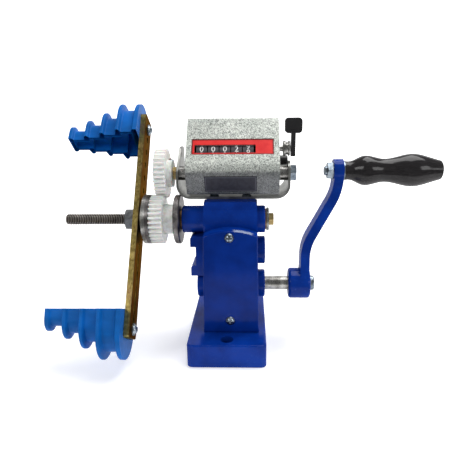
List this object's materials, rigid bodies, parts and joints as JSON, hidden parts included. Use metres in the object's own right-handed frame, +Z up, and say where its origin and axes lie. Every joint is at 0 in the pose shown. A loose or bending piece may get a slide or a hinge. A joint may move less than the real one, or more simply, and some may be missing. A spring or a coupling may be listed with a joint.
{
  "type": "wire coil winding machine",
  "caption": "Hand-cranked bench machine that winds wire coils on stepped forms, with a geared spindle and a turn counter.",
  "frame": {"origin": "middle of the base's underside", "axes": "+X along the spindle towards the crank, +Z up, -Y towards the gear cover and the counter's window"},
  "size_m": [0.3231, 0.1501, 0.2091],
  "materials": {
    "cast_blue_paint": "thick blue paint over rough casting",
    "form_blue_plastic": "moulded blue plastic, satin",
    "white_plastic": "moulded white plastic",
    "yellow_zinc": "yellow zinc plated strip",
    "bright_steel": "turned bright steel",
    "dark_steel": "dark turned steel",
    "zinc_steel": "bluish zinc plating",
    "sheet_steel": "bright bent sheet",
    "brass": "machined brass",
    "bronze": "sintered bronze",
    "hammered_silver_paint": "silver hammered paint",
    "red_enamel": "red enamel plate",
    "dark_plate": "dark anodised plate, left blank",
    "black_plastic": "black moulded plastic",
    "black_paint": "black lacquered metal",
    "black_wood": "turned wood under black lacquer",
    "digit_black": "dark wheel with white figures"
  },
  "bodies": {
    "machine": {"cast_frame": "cast_blue_paint", "front_cover": "cast_blue_paint", "cover_screws": "zinc_steel", "spindle_bush_left": "bronze", "spindle_bush_right": "bronze", "crank_bush_left": "bronze", "crank_bush_right": "bronze", "idler_axle": "dark_steel", "counter_bracket": "sheet_steel", "bracket_screws": "zinc_steel", "counter_shell": "hammered_silver_paint", "counter_left_side": "hammered_silver_paint", "counter_right_side": "hammered_silver_paint", "red_plate": "red_enamel", "name_plate": "dark_plate", "wheel_axle": "bright_steel", "drive_sleeve": "bright_steel", "brass_nut": "brass", "pivot_spacers": "bright_steel", "pivot_bolt": "zinc_steel", "stop_stud": "black_plastic"},
    "spindle": {"spindle_shaft": "bright_steel", "spindle_pinion": "dark_steel", "spindle_collar": "dark_steel", "spindle_gear": "white_plastic", "flat_disc": "dark_steel", "dished_disc": "bright_steel", "arm_strip": "yellow_zinc", "spindle_nut": "zinc_steel", "end_washer": "bright_steel", "end_bolt": "brass", "upper_form": "form_blue_plastic", "upper_form_screw": "zinc_steel"},
    "lower_form_block": {"lower_form": "form_blue_plastic", "lower_form_screw": "zinc_steel"},
    "idler": {"idler_gear": "dark_steel", "idler_pinion": "dark_steel"},
    "crank": {"crank_shaft": "bright_steel", "crank_gear": "dark_steel", "crank_arm": "cast_blue_paint", "crank_nut": "zinc_steel", "handle_bolt": "zinc_steel", "handle_nut": "zinc_steel", "handle_washer": "zinc_steel"},
    "grip": {"handle_grip": "black_wood"},
    "counter_drive": {"counter_shaft": "bright_steel", "counter_gear": "white_plastic", "counter_set_screw": "black_paint"},
    "zero_lever": {"reset_shaft": "bright_steel", "reset_collar": "bright_steel", "reset_lever": "black_paint"},
    "digits_1": {"digit_wheel_1": "digit_black"},
    "digits_2": {"digit_wheel_2": "digit_black"},
    "digits_3": {"digit_wheel_3": "digit_black"},
    "digits_4": {"digit_wheel_4": "digit_black"},
    "digits_5": {"digit_wheel_5": "digit_black"}
  },
  "joints": [
    {"name": "crank_turn", "type": "hinge", "parent": "machine", "child": "crank", "pos_m": [0, 0, 0.0535], "axis": [1, 0, 0], "continuous": true},
    {"name": "idler_turn", "type": "hinge", "parent": "machine", "child": "idler", "pos_m": [0, 0, 0.085], "axis": [1, 0, 0], "continuous": true},
    {"name": "spindle_turn", "type": "hinge", "parent": "machine", "child": "spindle", "pos_m": [0, 0, 0.113], "axis": [1, 0, 0], "continuous": true},
    {"name": "lower_form_slide", "type": "slide", "parent": "spindle", "child": "lower_form_block", "axis": [0, -0.5664, -0.8241], "range_m": [-0.066, 0.002]},
    {"name": "grip_turn", "type": "hinge", "parent": "crank", "child": "grip", "pos_m": [0, 0, 0.1545], "axis": [1, 0, 0], "continuous": true},
    {"name": "counter_drive_turn", "type": "hinge", "parent": "machine", "child": "counter_drive", "pos_m": [0, 0.01149, 0.15131], "axis": [1, 0, 0], "continuous": true},
    {"name": "zero_lever_turn", "type": "hinge", "parent": "machine", "child": "zero_lever", "pos_m": [0, 0.012, 0.172], "axis": [1, 0, 0], "range_deg": [0, 90]},
    {"name": "digits_1_turn", "type": "hinge", "parent": "machine", "child": "digits_1", "pos_m": [0, 0.00736, 0.16667], "axis": [1, 0, 0], "continuous": true},
    {"name": "digits_2_turn", "type": "hinge", "parent": "machine", "child": "digits_2", "pos_m": [0, 0.00736, 0.16667], "axis": [1, 0, 0], "continuous": true},
    {"name": "digits_3_turn", "type": "hinge", "parent": "machine", "child": "digits_3", "pos_m": [0, 0.00736, 0.16667], "axis": [1, 0, 0], "continuous": true},
    {"name": "digits_4_turn", "type": "hinge", "parent": "machine", "child": "digits_4", "pos_m": [0, 0.00736, 0.16667], "axis": [1, 0, 0], "continuous": true},
    {"name": "digits_5_turn", "type": "hinge", "parent": "machine", "child": "digits_5", "pos_m": [0, 0.00736, 0.16667], "axis": [1, 0, 0], "continuous": true}
  ],
  "couplings": [
    {"joint": "idler_turn", "follows": "crank_turn", "ratio": -3.2},
    {"joint": "spindle_turn", "follows": "crank_turn", "ratio": 8},
    {"joint": "counter_drive_turn", "follows": "crank_turn", "ratio": -8},
    {"joint": "digits_1_turn", "follows": "crank_turn", "ratio": 0.8},
    {"joint": "digits_2_turn", "follows": "crank_turn", "ratio": 0.08},
    {"joint": "digits_3_turn", "follows": "crank_turn", "ratio": 0.008},
    {"joint": "digits_4_turn", "follows": "crank_turn", "ratio": 0.0008},
    {"joint": "digits_5_turn", "follows": "crank_turn", "ratio": 0.00008}
  ]
}
